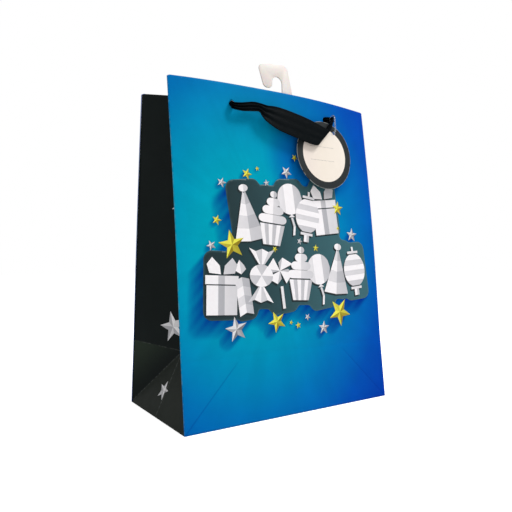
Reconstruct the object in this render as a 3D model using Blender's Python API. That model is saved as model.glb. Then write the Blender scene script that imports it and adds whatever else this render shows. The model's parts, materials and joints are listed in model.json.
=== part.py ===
"""Gift bag: a gusseted paper carrier with ribbon handles, a round tag and a plastic hang hook.

The bag stands on its base with its mouth half squeezed together. Each wide panel leans on its
bottom crease, and each narrow side is a gusset of two halves that fold inwards. Metres, +Z up,
front towards -Y, origin on the floor under the middle of the base.

Every panel has its own frame, held by an empty on its bottom crease: x runs along the crease,
y is depth measured inwards from the outer face, and z runs up the panel to the rim.
"""

import math

import bmesh
import bpy
from mathutils import Vector

# Driving dimensions
WIDTH = 0.180
DEPTH = 0.100
HEIGHT = 0.240
LEAN = math.radians(6.0)
FRONT_BOW = 0.007
BACK_BOW = 0.004

# Sheet stock and the gap left between neighbouring sheets
PAPER = 0.0004
CARD = 0.0006
GAP = 0.0003

# Turned-in top
HEM_DEPTH = 0.036
CARD_DEPTH = 0.030
HEM_SIDE_INSET = 0.010

# Ribbon handles
HOLE_X = 0.043
HOLE_HEIGHT = HEIGHT - 0.0155
HOLE_RADIUS = 0.0028
STRAND_RADIUS = 0.0022
AXIS_STANDOFF = 0.0036
RIBBON_WIDTH = 0.018
RIBBON_THICK = 0.0012
RIBBON_STANDOFF = 0.0030

# Tag and the clear loop that carries it
TAG_RADIUS = 0.027
TAG_THICK = 0.0008
LOOP_X = 0.0467
LOOP_DROP = 0.0118
LOOP_RADIUS = 0.0023
LOOP_WIRE = 0.00045
TAG_HOLE_RADIUS = 0.0014
TAG_HOLE_TILT = math.radians(30.0)
TAG_HOLE_FROM_CENTRE = 0.0221

HOOK_THICK = 0.0008

# Base
FLAP_INSET_X = 0.0024
FLAP_INSET_Y = 0.0009
BOARD_INSET_X = 0.0036
BOARD_INSET_Y = 0.0016
BACK_FLAP_REACH = 0.087
FRONT_FLAP_REACH = 0.061
TUCK_REACH = 0.046
FOOT_CLEARANCE = 0.0016
FOOT_HINGE_Z = 0.0006

# Glue flap inside the back panel
SEAM_FLAP_WIDTH = 0.015
SEAM_FLAP_INSET = 0.004

# Gussets
CREASE_CLEARANCE = 0.0025
GUSSET_HINGE_DEPTH = PAPER + GAP + PAPER / 2
GUSSET_HINGE_X = WIDTH / 2 - PAPER / 2
HALF_GUSSET = DEPTH / 2 - GUSSET_HINGE_DEPTH

# Depths of the middle of each layer below a panel's outer face
PANEL_LAYER = PAPER / 2
CARD_LAYER = PAPER + GAP + CARD / 2
HEM_LAYER = PAPER + GAP + CARD + GAP + PAPER / 2
INNER_FACE = HEM_LAYER + PAPER / 2


def clear_scene():
    for obj in list(bpy.data.objects):
        bpy.data.objects.remove(obj, do_unlink=True)


def material(name, colour, roughness, metallic=0.0, alpha=1.0):
    made = bpy.data.materials.new(name)
    made.use_nodes = True
    shader = made.node_tree.nodes["Principled BSDF"]
    shader.inputs["Base Color"].default_value = (*colour, 1.0)
    shader.inputs["Roughness"].default_value = roughness
    shader.inputs["Metallic"].default_value = metallic
    shader.inputs["Alpha"].default_value = alpha
    made.diffuse_color = (*colour, alpha)
    return made


def pivot(name, location, rotation=(0.0, 0.0, 0.0), parent=None):
    """An empty that holds the frame of a panel or the axis of a joint."""
    empty = bpy.data.objects.new(name, None)
    empty.empty_display_size = 0.01
    empty.location = location
    empty.rotation_euler = rotation
    empty.parent = parent
    bpy.context.collection.objects.link(empty)
    return empty


def add_object(name, bm, finish, parent):
    bmesh.ops.recalc_face_normals(bm, faces=bm.faces)
    mesh = bpy.data.meshes.new(name)
    bm.to_mesh(mesh)
    bm.free()
    mesh.materials.append(finish)
    obj = bpy.data.objects.new(name, mesh)
    obj.parent = parent
    bpy.context.collection.objects.link(obj)
    return obj


def thicken(obj, thickness):
    solidify = obj.modifiers.new("Thickness", 'SOLIDIFY')
    solidify.thickness = thickness
    solidify.offset = 0.0
    solidify.use_even_offset = True
    return obj


def spread(start, end, steps):
    """Evenly spaced values from start to end, both included."""
    return [start + (end - start) * i / steps for i in range(steps + 1)]


def sheet(name, columns, rows, point, thickness, finish, parent):
    """A thin sheet whose middle surface is point(column, row) over a grid."""
    bm = bmesh.new()
    grid = [[bm.verts.new(point(c, r)) for c in columns] for r in rows]
    for lower, upper in zip(grid, grid[1:]):
        for i in range(len(columns) - 1):
            bm.faces.new((lower[i], lower[i + 1], upper[i + 1], upper[i]))
    return thicken(add_object(name, bm, finish, parent), thickness)


def plate(name, outline, thickness, finish, parent):
    """A flat sheet cut to an outline of points around its edge."""
    bm = bmesh.new()
    bm.faces.new([bm.verts.new(p) for p in outline])
    return thicken(add_object(name, bm, finish, parent), thickness)


def arc(centre, radius, start, end, steps):
    """Points on an arc, angles in degrees."""
    angles = [math.radians(a) for a in spread(start, end, steps)]
    return [(centre[0] + radius * math.cos(a), centre[1] + radius * math.sin(a)) for a in angles]


def smooth_path(stations, steps):
    """A Catmull-Rom curve through stations, each a tuple of equal length."""
    padded = [stations[0]] + list(stations) + [stations[-1]]
    path = []
    for p0, p1, p2, p3 in zip(padded, padded[1:], padded[2:], padded[3:]):
        for i in range(steps):
            t = i / steps
            path.append(tuple(
                0.5 * (2 * b + (c - a) * t + (2 * a - 5 * b + 4 * c - d) * t * t
                       + (3 * b - a - 3 * c + d) * t ** 3)
                for a, b, c, d in zip(p0, p1, p2, p3)))
    path.append(stations[-1])
    return path


def sweep(name, path, across, finish, parent, sides=12):
    """A closed body along path, each entry (x, y, z, width, thickness).

    across(tangent) gives the direction of the width.
    """
    bm = bmesh.new()
    points = [Vector(station[:3]) for station in path]
    rings = []
    for i, station in enumerate(path):
        tangent = (points[min(i + 1, len(path) - 1)] - points[max(i - 1, 0)]).normalized()
        wide = across(tangent).normalized()
        thick = tangent.cross(wide).normalized()
        ring = []
        for k in range(sides):
            angle = 2 * math.pi * k / sides
            offset = wide * (station[3] / 2 * math.cos(angle)) + thick * (station[4] / 2 * math.sin(angle))
            ring.append(bm.verts.new(points[i] + offset))
        rings.append(ring)
    for first, second in zip(rings, rings[1:]):
        for k in range(sides):
            bm.faces.new((first[k], first[(k + 1) % sides], second[(k + 1) % sides], second[k]))
    bm.faces.new(rings[0])
    bm.faces.new(rings[-1])
    obj = add_object(name, bm, finish, parent)
    obj.data.shade_smooth()
    obj.data.set_sharp_from_angle(angle=math.radians(50))
    return obj


def punch(obj, parent, x, z, radius):
    """Cut a round hole straight through obj, along its panel's depth."""
    bm = bmesh.new()
    bmesh.ops.create_cone(bm, cap_ends=True, segments=24, radius1=radius, radius2=radius, depth=0.04)
    cutter = add_object(f"cutter_{obj.name}_{x:.3f}", bm, obj.data.materials[0], parent)
    cutter.location = (x, 0.0, z)
    cutter.rotation_euler = (math.pi / 2, 0.0, 0.0)
    cutter.hide_render = True
    cutter.display_type = 'WIRE'
    hole = obj.modifiers.new("Hole", 'BOOLEAN')
    hole.operation = 'DIFFERENCE'
    hole.solver = 'EXACT'
    hole.object = cutter


def bow(amount, x, z):
    """How far a panel bellies outwards: most at the middle of the rim, nothing at its sides."""
    return amount * (1 - (2 * x / WIDTH) ** 2) * (max(z, 0.0) / HEIGHT) ** 1.5


def panel_layer(name, amount, layer, half_width, z_range, thickness, finish, frame, grid=(18, 16)):
    """One sheet of a wide panel's stack, following the panel's bow."""
    columns = spread(-half_width, half_width, grid[0])
    rows = spread(z_range[0], z_range[1], grid[1])
    return sheet(name, columns, rows, lambda x, z: (x, layer - bow(amount, x, z), z),
                 thickness, finish, frame)


def make_panel(side, amount, frame, finishes):
    """A wide panel, its stiffening card and its turned-in hem, with the two ribbon holes."""
    hem_half = WIDTH / 2 - HEM_SIDE_INSET
    panel = panel_layer(f"{side}_panel", amount, PANEL_LAYER, WIDTH / 2, (GAP, HEIGHT),
                        PAPER, finishes[side], frame)
    card = panel_layer(f"{side}_top_card", amount, CARD_LAYER, hem_half - 0.002,
                       (HEIGHT - CARD_DEPTH, HEIGHT - 0.001), CARD, finishes["card"], frame, (16, 4))
    hem = panel_layer(f"{side}_top_hem", amount, HEM_LAYER, hem_half,
                      (HEIGHT - HEM_DEPTH, HEIGHT), PAPER, finishes[side], frame, (16, 4))
    for layer in (panel, card, hem):
        for x in (-HOLE_X, HOLE_X):
            punch(layer, frame, x, HOLE_HEIGHT, HOLE_RADIUS)


def gusset_fold(z):
    """Angle of a gusset half from square at height z, so that its crease lies midway."""
    reach = (DEPTH / 2 - z * math.sin(LEAN)) / math.cos(LEAN) - GUSSET_HINGE_DEPTH
    return math.acos(min(1.0, reach / HALF_GUSSET))


def gusset_point(inward, along, z, offset=0.0):
    """Point of a gusset half at a distance along it; offset moves it into the bag."""
    angle = gusset_fold(max(z, DEPTH / 2))
    x = along * math.sin(angle) + offset * math.cos(angle)
    y = along * math.cos(angle) - offset * math.sin(angle)
    return (inward * x, y, z)


def make_gusset_half(name, inward, hinge, finishes):
    """Half a gusset, cut off below by the diagonal fold, and its hem."""
    start = 0.0008
    lowest = start + 2 * FOOT_CLEARANCE

    def point(share, z):
        end = min(HALF_GUSSET - CREASE_CLEARANCE, z - FOOT_CLEARANCE)
        return gusset_point(inward, start + (end - start) * share, z)

    rows = spread(lowest, DEPTH / 2, 4)[:-1] + spread(DEPTH / 2, HEIGHT, 12)
    sheet(name, spread(0.0, 1.0, 3), rows, point, PAPER, finishes["sides"], hinge)

    def hem_point(along, z):
        return gusset_point(inward, along, z, offset=PAPER + GAP)

    hem_along = spread(HEM_SIDE_INSET, HALF_GUSSET - 2 * CREASE_CLEARANCE, 2)
    hem_rows = spread(HEIGHT - HEM_DEPTH, HEIGHT, 3)
    sheet(f"{name}_hem", hem_along, hem_rows, hem_point, PAPER, finishes["sides"], hinge)


def make_gusset_foot(name, inward, hinge, finishes):
    """The triangle at the bottom of a gusset, tilted inwards on its bottom fold."""
    tilt = gusset_fold(DEPTH / 2)
    half = DEPTH / 2 - FOOT_CLEARANCE
    slopes = [(-half, 0.0), (half, 0.0), (half - 0.001, 0.0012), (0.0015, half - 0.003),
              (-0.0015, half - 0.003), (-half + 0.001, 0.0012)]
    outline = [(inward * up * math.sin(tilt), y, up * math.cos(tilt)) for y, up in slopes]
    plate(name, outline, PAPER, finishes["feet"], hinge)


def make_base(finishes):
    """The glued flaps, the gussets' tucks above them and the loose board on top."""
    half_x = WIDTH / 2 - FLAP_INSET_X
    half_y = DEPTH / 2 - FLAP_INSET_Y
    step = PAPER + GAP
    black = finishes["sides"]

    def flap(name, x0, x1, y0, y1, level, thickness, finish):
        z = level + thickness / 2
        plate(name, [(x0, y0, z), (x1, y0, z), (x1, y1, z), (x0, y1, z)], thickness, finish, None)

    flap("bottom_flap_back", -half_x, half_x, half_y - BACK_FLAP_REACH, half_y, 0.0, PAPER, black)
    flap("bottom_flap_front", -half_x, half_x, -half_y, FRONT_FLAP_REACH - half_y, step, PAPER, black)
    flap("bottom_tuck_left", -half_x, TUCK_REACH - half_x, -half_y, half_y, 2 * step, PAPER, black)
    flap("bottom_tuck_right", half_x - TUCK_REACH, half_x, -half_y, half_y, 2 * step, PAPER, black)
    board_x = WIDTH / 2 - BOARD_INSET_X
    board_y = DEPTH / 2 - BOARD_INSET_Y
    flap("base_board", -board_x, board_x, -board_y, board_y, 3 * step, CARD, finishes["card"])


def ribbon_end_path(amount, x):
    """Ribbon from just outside its hole, through the panel and down inside to its knot."""
    belly = bow(amount, x, HOLE_HEIGHT)
    axis = handle_axis_depth(amount)
    face = INNER_FACE - belly
    lower = INNER_FACE - bow(amount, x, HOLE_HEIGHT - 0.07)
    outer_end = axis + STRAND_RADIUS + 0.0004
    strand = 2 * STRAND_RADIUS
    stations = [
        (x, outer_end, HOLE_HEIGHT, strand, strand),
        (x, -belly + 0.001, HOLE_HEIGHT, strand, strand),
        (x, face + 0.0018, HOLE_HEIGHT - 0.0004, strand, strand * 0.9),
        (x, face + 0.0032, HOLE_HEIGHT - 0.0050, 0.0060, 0.0026),
        (x, face + 0.0024, HOLE_HEIGHT - 0.0160, 0.0100, 0.0016),
        (x, lower + 0.0030, HOLE_HEIGHT - 0.0620, 0.0100, 0.0016),
        (x, lower + 0.0038, HOLE_HEIGHT - 0.0680, 0.0050, 0.0040),
        (x, lower + 0.0044, HOLE_HEIGHT - 0.0730, 0.0120, 0.0070),
        (x, lower + 0.0042, HOLE_HEIGHT - 0.0780, 0.0050, 0.0040),
        (x, lower + 0.0034, HOLE_HEIGHT - 0.0840, 0.0110, 0.0016),
        (x, lower + 0.0034, HOLE_HEIGHT - 0.0980, 0.0130, 0.0014),
    ]
    return smooth_path(stations, 3)


def handle_axis_depth(amount):
    """Depth of a handle's swing axis: just outside the panel's fullest point."""
    return -bow(amount, 0.0, HOLE_HEIGHT) - AXIS_STANDOFF


def handle_path():
    """Ribbon outside the panel, from its left hole to its right, measured from the swing axis."""
    strand = 2 * STRAND_RADIUS
    thin = RIBBON_THICK
    out = -RIBBON_STANDOFF
    stations = [
        (-HOLE_X - 0.0022, 0.0, 0.0, strand, strand),
        (-0.0360, 0.0, 0.0, strand, strand),
        (-0.0260, 0.0, -0.0005, strand, strand * 0.9),
        (-0.0190, out * 0.5, -0.0045, 0.0100, 0.0022),
        (-0.0100, out, -0.0080, 0.0155, thin),
        (0.0040, out, -0.0105, RIBBON_WIDTH, thin),
        (0.0180, out, -0.0140, RIBBON_WIDTH, thin),
        (0.0290, out, -0.0150, 0.0150, thin),
        (0.0365, out, -0.0115, 0.0090, thin * 1.4),
        (0.0400, out, -0.0075, 0.0055, thin * 1.5),
        (0.0410, out, -0.0045, 0.0040, thin * 1.7),
        (0.0422, out * 0.4, -0.0012, 0.0032, 0.0028),
        (0.0445, 0.0, 0.0, 0.0030, 0.0030),
        (0.0500, 0.0, 0.0, 0.0030, 0.0030),
    ]
    return smooth_path(stations, 3)


def make_handle(side, swing, finishes):
    """The ribbon outside one panel, in the plane of the panel."""
    depth_axis = Vector((0.0, 1.0, 0.0))
    sweep(f"{side}_handle", handle_path(), lambda t: depth_axis.cross(t), finishes["ribbon"], swing)


def make_ribbon_ends(side, amount, left, frame, finishes):
    for end, sign in (("left", left), ("right", -left)):
        sweep(f"{side}_{end}_ribbon_end", ribbon_end_path(amount, sign * HOLE_X),
              lambda t: Vector((1.0, 0.0, 0.0)), finishes["ribbon"], frame)


def make_tag_loop(swing, finishes):
    """A closed loop of clear nylon around the ribbon, hanging through the tag."""
    lower = -LOOP_DROP + LOOP_RADIUS
    upper_half = arc((0.0, 0.0), LOOP_RADIUS, 0, 180, 8)
    lower_half = arc((0.0, lower), LOOP_RADIUS, 180, 360, 8)
    centreline = upper_half + lower_half
    count = len(centreline)
    bm = bmesh.new()
    rings = []
    for i, (y, z) in enumerate(centreline):
        before = Vector((0.0, *centreline[i - 1]))
        after = Vector((0.0, *centreline[(i + 1) % count]))
        tangent = (after - before).normalized()
        outward = Vector((1.0, 0.0, 0.0)).cross(tangent)
        ring = []
        for k in range(8):
            angle = math.pi * k / 4
            offset = outward * math.cos(angle) + Vector((1.0, 0.0, 0.0)) * math.sin(angle)
            ring.append(bm.verts.new(Vector((LOOP_X, y, z)) + offset * LOOP_WIRE))
        rings.append(ring)
    for i in range(count):
        first = rings[i]
        second = rings[(i + 1) % count]
        for k in range(8):
            bm.faces.new((first[k], first[(k + 1) % 8], second[(k + 1) % 8], second[k]))
    loop = add_object("tag_loop", bm, finishes["nylon"], swing)
    loop.data.shade_smooth()


def make_tag(sway, finishes):
    """A round card tag hung from a hole near its edge."""
    centre = (-TAG_HOLE_FROM_CENTRE * math.sin(TAG_HOLE_TILT),
              -TAG_HOLE_FROM_CENTRE * math.cos(TAG_HOLE_TILT))
    rim = arc(centre, TAG_RADIUS, 0, 360, 48)[:-1]
    tag = plate("gift_tag", [(x, 0.0, z) for x, z in rim], TAG_THICK, finishes["tag"], sway)
    punch(tag, sway, 0.0, 0.0, TAG_HOLE_RADIUS)


def make_hook(frame, finishes):
    """A flat J of plastic: its stem is stuck inside the hem and its hook opens downwards."""
    bottom = HEIGHT - 0.028
    depth = INNER_FACE + GAP + HOOK_THICK / 2 - bow(FRONT_BOW, 0.018, bottom)
    stem_left = 0.0020
    stem_right = 0.0125
    tip_left = -0.0165
    tip_right = -0.0070
    top = HEIGHT + 0.0235
    tip = HEIGHT + 0.0045
    shoulder = 0.0055
    throat = (stem_left - tip_right) / 2
    throat_centre = ((stem_left + tip_right) / 2, HEIGHT + 0.0090)
    tip_radius = (tip_right - tip_left) / 2
    foot = 0.003
    outline = (
        arc((stem_right + 0.004 - foot, bottom + foot), foot, -90, 0, 4)
        + [(stem_right + 0.004, HEIGHT - 0.012), (stem_right, HEIGHT - 0.006)]
        + arc((stem_right - shoulder, top - shoulder), shoulder, 0, 90, 6)
        + arc((tip_left + shoulder, top - shoulder), shoulder, 90, 180, 6)
        + arc((tip_left + tip_radius, tip + tip_radius), tip_radius, 180, 360, 8)
        + arc(throat_centre, throat, 180, 0, 8)
        + [(stem_left, HEIGHT - 0.006), (stem_left - 0.004, HEIGHT - 0.012)]
        + arc((stem_left - 0.004 + foot, bottom + foot), foot, 180, 270, 4)
    )
    plate("hang_hook", [(x, depth, z) for x, z in outline], HOOK_THICK, finishes["hook"], frame)


def make_seam_flap(frame, finishes):
    """The glue flap that closes the tube of paper, inside the back panel's right edge."""
    outer = SEAM_FLAP_INSET - WIDTH / 2
    columns = spread(outer, outer + SEAM_FLAP_WIDTH, 2)
    rows = spread(SEAM_FLAP_INSET, HEIGHT - HEM_DEPTH - SEAM_FLAP_INSET / 2, 12)
    sheet("side_seam_flap", columns, rows, lambda x, z: (x, CARD_LAYER - bow(BACK_BOW, x, z), z),
          PAPER, finishes["sides"], frame)


def build():
    clear_scene()
    finishes = {
        "front": material("front_print", (0.01, 0.20, 0.55), 0.35),
        "back": material("back_print", (0.01, 0.18, 0.50), 0.35),
        "sides": material("side_print", (0.012, 0.015, 0.015), 0.42),
        "feet": material("foot_print", (0.020, 0.022, 0.020), 0.42),
        "card": material("stiffening_card", (0.62, 0.58, 0.50), 0.85),
        "ribbon": material("black_ribbon", (0.006, 0.007, 0.008), 0.45),
        "tag": material("tag_card", (0.85, 0.80, 0.72), 0.55),
        "nylon": material("clear_nylon", (0.85, 0.86, 0.88), 0.25),
        "hook": material("frosted_plastic", (0.78, 0.75, 0.71), 0.40),
    }
    make_base(finishes)
    # left is the sign of x, in the panel's frame, on the side that is left from the front
    panels = (("front", FRONT_BOW, -DEPTH / 2, 0.0, -1), ("back", BACK_BOW, DEPTH / 2, math.pi, 1))
    for side, amount, y, turn, left in panels:
        frame = pivot(f"{side}_panel_hinge", (0.0, y, 0.0), (-LEAN, 0.0, turn))
        make_panel(side, amount, frame, finishes)
        make_ribbon_ends(side, amount, left, frame, finishes)
        for end, sign in (("left", left), ("right", -left)):
            hinge = pivot(f"{side}_{end}_gusset_hinge", (sign * GUSSET_HINGE_X, GUSSET_HINGE_DEPTH, 0.0),
                          parent=frame)
            make_gusset_half(f"{side}_{end}_gusset", -sign, hinge, finishes)
        swing = pivot(f"{side}_handle_swing", (0.0, handle_axis_depth(amount), HOLE_HEIGHT), parent=frame)
        make_handle(side, swing, finishes)
        if side == "front":
            make_tag_loop(swing, finishes)
            sway = pivot("tag_sway", (LOOP_X, 0.0, -LOOP_DROP), parent=swing)
            make_tag(sway, finishes)
            make_hook(frame, finishes)
        else:
            make_seam_flap(frame, finishes)
    for end, sign in (("left", -1), ("right", 1)):
        hinge = pivot(f"{end}_foot_hinge", (sign * GUSSET_HINGE_X, 0.0, FOOT_HINGE_Z))
        make_gusset_foot(f"{end}_gusset_foot", -sign, hinge, finishes)


build()
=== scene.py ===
"""Looks of the gift bag: printed paper, satin ribbons, a card tag and a plastic hook on the CAD frame.

A place on a wide panel is (x, depth, s): x across the panel as seen from outside, depth inwards from its
flat outer face, s up the panel from its bottom crease. A place on half a gusset is (a, s): a from the
panel's edge towards the centre crease, s up that edge. Lengths are in metres.
"""

import json
import math

import bmesh
import bpy
import numpy as np
from mathutils import Matrix, Vector


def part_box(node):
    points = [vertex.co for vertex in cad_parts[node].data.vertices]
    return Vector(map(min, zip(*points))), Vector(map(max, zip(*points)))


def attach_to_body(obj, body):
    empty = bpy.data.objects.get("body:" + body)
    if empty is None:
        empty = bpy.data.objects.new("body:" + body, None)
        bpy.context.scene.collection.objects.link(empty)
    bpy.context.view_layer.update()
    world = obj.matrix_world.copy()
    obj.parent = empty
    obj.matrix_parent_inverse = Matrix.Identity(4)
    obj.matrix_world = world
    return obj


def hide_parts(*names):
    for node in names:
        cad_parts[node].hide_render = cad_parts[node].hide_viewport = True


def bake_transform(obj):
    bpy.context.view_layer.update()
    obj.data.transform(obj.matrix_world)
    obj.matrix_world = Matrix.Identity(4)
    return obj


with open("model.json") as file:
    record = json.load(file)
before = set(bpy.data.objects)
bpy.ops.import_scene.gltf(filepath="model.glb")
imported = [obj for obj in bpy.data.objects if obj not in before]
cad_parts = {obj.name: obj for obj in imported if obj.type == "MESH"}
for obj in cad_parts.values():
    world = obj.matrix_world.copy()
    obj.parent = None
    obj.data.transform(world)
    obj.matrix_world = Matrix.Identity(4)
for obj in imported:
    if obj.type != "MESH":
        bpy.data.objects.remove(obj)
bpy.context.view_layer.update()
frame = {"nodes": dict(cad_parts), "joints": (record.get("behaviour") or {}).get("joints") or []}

MM = 0.001

# The bag's main sizes, read from the frame
JOINTS = {joint["name"]: joint for joint in frame["joints"]}
FOLD_AXIS = JOINTS["front_left_gusset_fold"]["axis"]
LEAN = math.atan2(abs(FOLD_AXIS[1]), abs(FOLD_AXIS[2]))
SIN = math.sin(LEAN)
COS = math.cos(LEAN)
WIDTH = 2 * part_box("front_panel")[1].x
DEPTH = -2 * JOINTS["front_panel_lean"]["pos_m"][1]
HEIGHT = round(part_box("front_left_gusset")[1].z / COS, 3)
HALF = DEPTH / 2

# Paper
PAPER = 0.35 * MM
CARD = 0.6 * MM
CORNER = 0.6 * MM
CORNER_RETURN = 0.3 * MM
STACK = 2.0 * MM
HEM = 36 * MM
HEM_SIDE_GAP = 4.6 * MM
SHEET_STEP = 1.5 * MM
HEM_STEP = 3 * MM
CORNER_STEPS = 6
RIM_STEPS = 9
GUSSET_COLUMNS = 33
GUSSET_CREASE_COLUMNS = 5
GUSSET_ROWS = 90
EDGE_BELLY = 1.6 * MM
WARP = 0.28 * MM
CREASE_HEIGHT = 46 * MM
CREASE_GROOVE = 0.28 * MM
CREASE_WIDTH = 1.5 * MM
GUSSET_CREASE = 1.2 * MM
GUSSET_HEM_GAP = 1.0 * MM
GUSSET_HEM_INSET = 4.0 * MM
GUSSET_BULGE = 0.7 * MM

# Plain layers behind a panel: the top card and the glue flap
LAYER_STEP = 2 * MM
CARD_HEIGHT = 30 * MM
CARD_TOP_GAP = 2 * MM
CARD_SIDE_GAP = 12 * MM
CARD_BEHIND = PAPER + 0.25 * MM
SEAM_INSET = 4 * MM
SEAM_WIDTH = 15 * MM
SEAM_HEM_GAP = 2 * MM
SEAM_BEHIND = PAPER + 0.2 * MM

# The panel's share of a gusset's motion: its growth per metre outwards in x and y and upwards, and its
# value at the bottom corner
BLEND_GROWTH = (22.8, 24.0, 5.87)
BLEND_AT_CORNER = 0.8

# Ink films on the paper
INK_STEP = 6 * MM
INK_THICK = 0.16 * MM
PLAQUE_LIFT = 0.05 * MM
SHADOW_LIFT = 0.08 * MM
SHADOW_SHIFT = 1.3 * MM
SHAPE_LIFTS = (0.11 * MM, 0.14 * MM)
STAR_LIFT = 0.17 * MM
STAR_CREASE_GAP = 0.4 * MM
SHADE_SLANT = (0.72, 0.70)
SHADE_FADE = 0.4
PLAQUE_SHADE = 17 * MM
PLAQUE_SHADE_SOFT = 2.5 * MM
STAR_SHADE = 0.75
STAR_SHADE_SOFT = 1.6 * MM
PLAQUE_MARGIN = 4.2 * MM
PLAQUE_CORNER = 6.5 * MM
PLAQUE_BORDER = 0.9 * MM
PLAQUE_STEP = 1.4 * MM
PLAQUE_X_RANGE = (-84 * MM, 86 * MM)
PLAQUE_S_RANGE = (64 * MM, 182 * MM)
SHAPE_STRETCH = 1.22
SHAPE_SIZE = 1.03

# Ribbon, tag and hook
HOLE_X = (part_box("front_right_ribbon_end")[0].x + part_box("front_right_ribbon_end")[1].x) / 2
HOLE_RADIUS = 2.5 * MM
RIBBON_THICK = 0.28 * MM
RIBBON_FOLDS = 3
RIBBON_THREADS = 37
HANDLE_STEPS = 7
TAIL_STEPS = 6
KNOT_DROP = 73 * MM
KNOT_DEPTH = 4.2 * MM
TAG_RADIUS = (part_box("gift_tag")[1].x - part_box("gift_tag")[0].x) / 2
TAG_THICK = 0.7 * MM
TAG_HOLE_RADIUS = 1.4 * MM
TAG_DISH = 0.35 * MM
TAG_RIM_DROP = 0.10 * MM
HOOK_THICK = 0.9 * MM
HOOK_GAP = 0.3 * MM
HOOK_BEVEL = 0.22 * MM
HOOK_STUCK_X = 18 * MM
HOOK_STUCK_DROP = 28 * MM

# Stage; a light is its name, place, size and power in watts
AMBIENT = 0.46
FLOOR_REACH = 4.0
FLOOR_GLOW = 0.75
LIGHTS = [("key", (0.52, -0.50, 1.12), 0.34, 9.6), ("fill", (-1.1, -0.6, 0.5), 0.8, 1.6)]

# Camera; yaw, pitch and roll in degrees, lens and sensor in millimetres
CAMERA_PLACE = (-0.2301, -0.3527, 0.1126)
CAMERA_TURN = (32.743, 0.345, -0.358)
CAMERA_LENS = 36.55
CAMERA_SENSOR = 36.0


# ---------------------------------------------------------------- meshes

def add_object(name, data):
    obj = bpy.data.objects.new(name, data)
    bpy.context.scene.collection.objects.link(obj)
    return obj


def add_mesh(name, verts, faces, layers, materials):
    """An object from vertices and faces; layers maps a UV layer's name to one pair of numbers per vertex."""
    mesh = bpy.data.meshes.new(name)
    mesh.from_pydata(np.reshape(verts, (-1, 3)).tolist(), [], [[int(i) for i in face] for face in faces])
    corners = np.empty(len(mesh.loops), dtype=np.int32)
    mesh.loops.foreach_get("vertex_index", corners)
    for layer_name, values in layers.items():
        layer = mesh.uv_layers.new(name=layer_name)
        layer.data.foreach_set("uv", np.reshape(values, (-1, 2)).astype(np.float32)[corners].ravel())
    for finish in materials:
        mesh.materials.append(finish)
    mesh.shade_smooth()
    return add_object(name, mesh)


def add_bmesh(name, bm, finish):
    """An object from a bmesh, which is used up."""
    mesh = bpy.data.meshes.new(name)
    bm.to_mesh(mesh)
    bm.free()
    mesh.materials.append(finish)
    return add_object(name, mesh)


def grid_faces(rows, columns, flip=False, closed=False):
    """Quads of a grid of rows x columns vertices; closed joins the last column to the first."""
    index = np.arange(rows * columns).reshape(rows, columns)
    if closed:
        index = np.hstack([index, index[:, :1]])
    quads = np.stack([index[:-1, :-1], index[:-1, 1:], index[1:, 1:], index[1:, :-1]], axis=-1)
    quads = quads.reshape(-1, 4)
    return quads[:, ::-1] if flip else quads


def pairs(first, second):
    """Two arrays as one array of pairs of numbers."""
    return np.stack(np.broadcast_arrays(first, second), axis=-1)


def round_angles(count):
    """Equal steps once round a circle."""
    return np.linspace(0.0, 2 * math.pi, count + 1)[:-1]


def settle(obj):
    """Apply every modifier of obj."""
    depsgraph = bpy.context.evaluated_depsgraph_get()
    depsgraph.update()
    mesh = bpy.data.meshes.new_from_object(obj.evaluated_get(depsgraph))
    mesh.name = obj.name
    obj.modifiers.clear()
    obj.data = mesh
    return obj


def thicken(obj, thickness, offset=-1.0, inner_material=0):
    """Give a sheet its thickness, behind its face; the back can have a material of its own."""
    solidify = obj.modifiers.new("Thickness", 'SOLIDIFY')
    solidify.thickness = thickness
    solidify.offset = offset
    solidify.material_offset = inner_material
    return settle(obj)


def punch(obj, place, axis, radius):
    """A round hole straight through obj."""
    bm = bmesh.new()
    bmesh.ops.create_cone(bm, cap_ends=True, segments=40, radius1=radius, radius2=radius, depth=8 * MM)
    cutter = add_bmesh("cutter", bm, obj.data.materials[-1])
    turn = Vector((0.0, 0.0, 1.0)).rotation_difference(Vector(axis)).to_matrix().to_4x4()
    cutter.matrix_world = Matrix.Translation(Vector(place)) @ turn
    hole = obj.modifiers.new("Hole", 'BOOLEAN')
    hole.operation = 'DIFFERENCE'
    hole.solver = 'EXACT'
    hole.object = cutter
    settle(obj)
    bpy.data.objects.remove(cutter)


def weld(obj):
    """Join the vertices that lie on each other and turn every face outwards."""
    bm = bmesh.new()
    bm.from_mesh(obj.data)
    bmesh.ops.remove_doubles(bm, verts=bm.verts[:], dist=1e-7)
    bmesh.ops.recalc_face_normals(bm, faces=bm.faces[:])
    bm.to_mesh(obj.data)
    bm.free()


def attach(obj, body, slot, *replaced):
    """Make obj move with a body and stand for the CAD nodes that it replaces."""
    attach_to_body(obj, body)
    if replaced:
        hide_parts(*replaced)


def smooth_rows(stations, steps):
    """A smooth curve through rows of numbers, with steps points from each row to the next."""
    rows = np.array(stations, dtype=float)
    padded = np.vstack([2 * rows[0] - rows[1], rows, 2 * rows[-1] - rows[-2]])
    t = np.linspace(0.0, 1.0, steps, endpoint=False)[:, None]
    spans = [0.5 * (2 * b + (c - a) * t + (2 * a - 5 * b + 4 * c - d) * t ** 2
                    + (3 * b - a - 3 * c + d) * t ** 3)
             for a, b, c, d in zip(padded, padded[1:], padded[2:], padded[3:])]
    return np.vstack(spans + [rows[-1:]])


def lengths_along(points):
    """Distance from the first point to each point of a path."""
    steps = np.linalg.norm(np.diff(points, axis=0), axis=1)
    return np.concatenate([[0.0], np.cumsum(steps)])


# ---------------------------------------------------------------- materials

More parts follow.
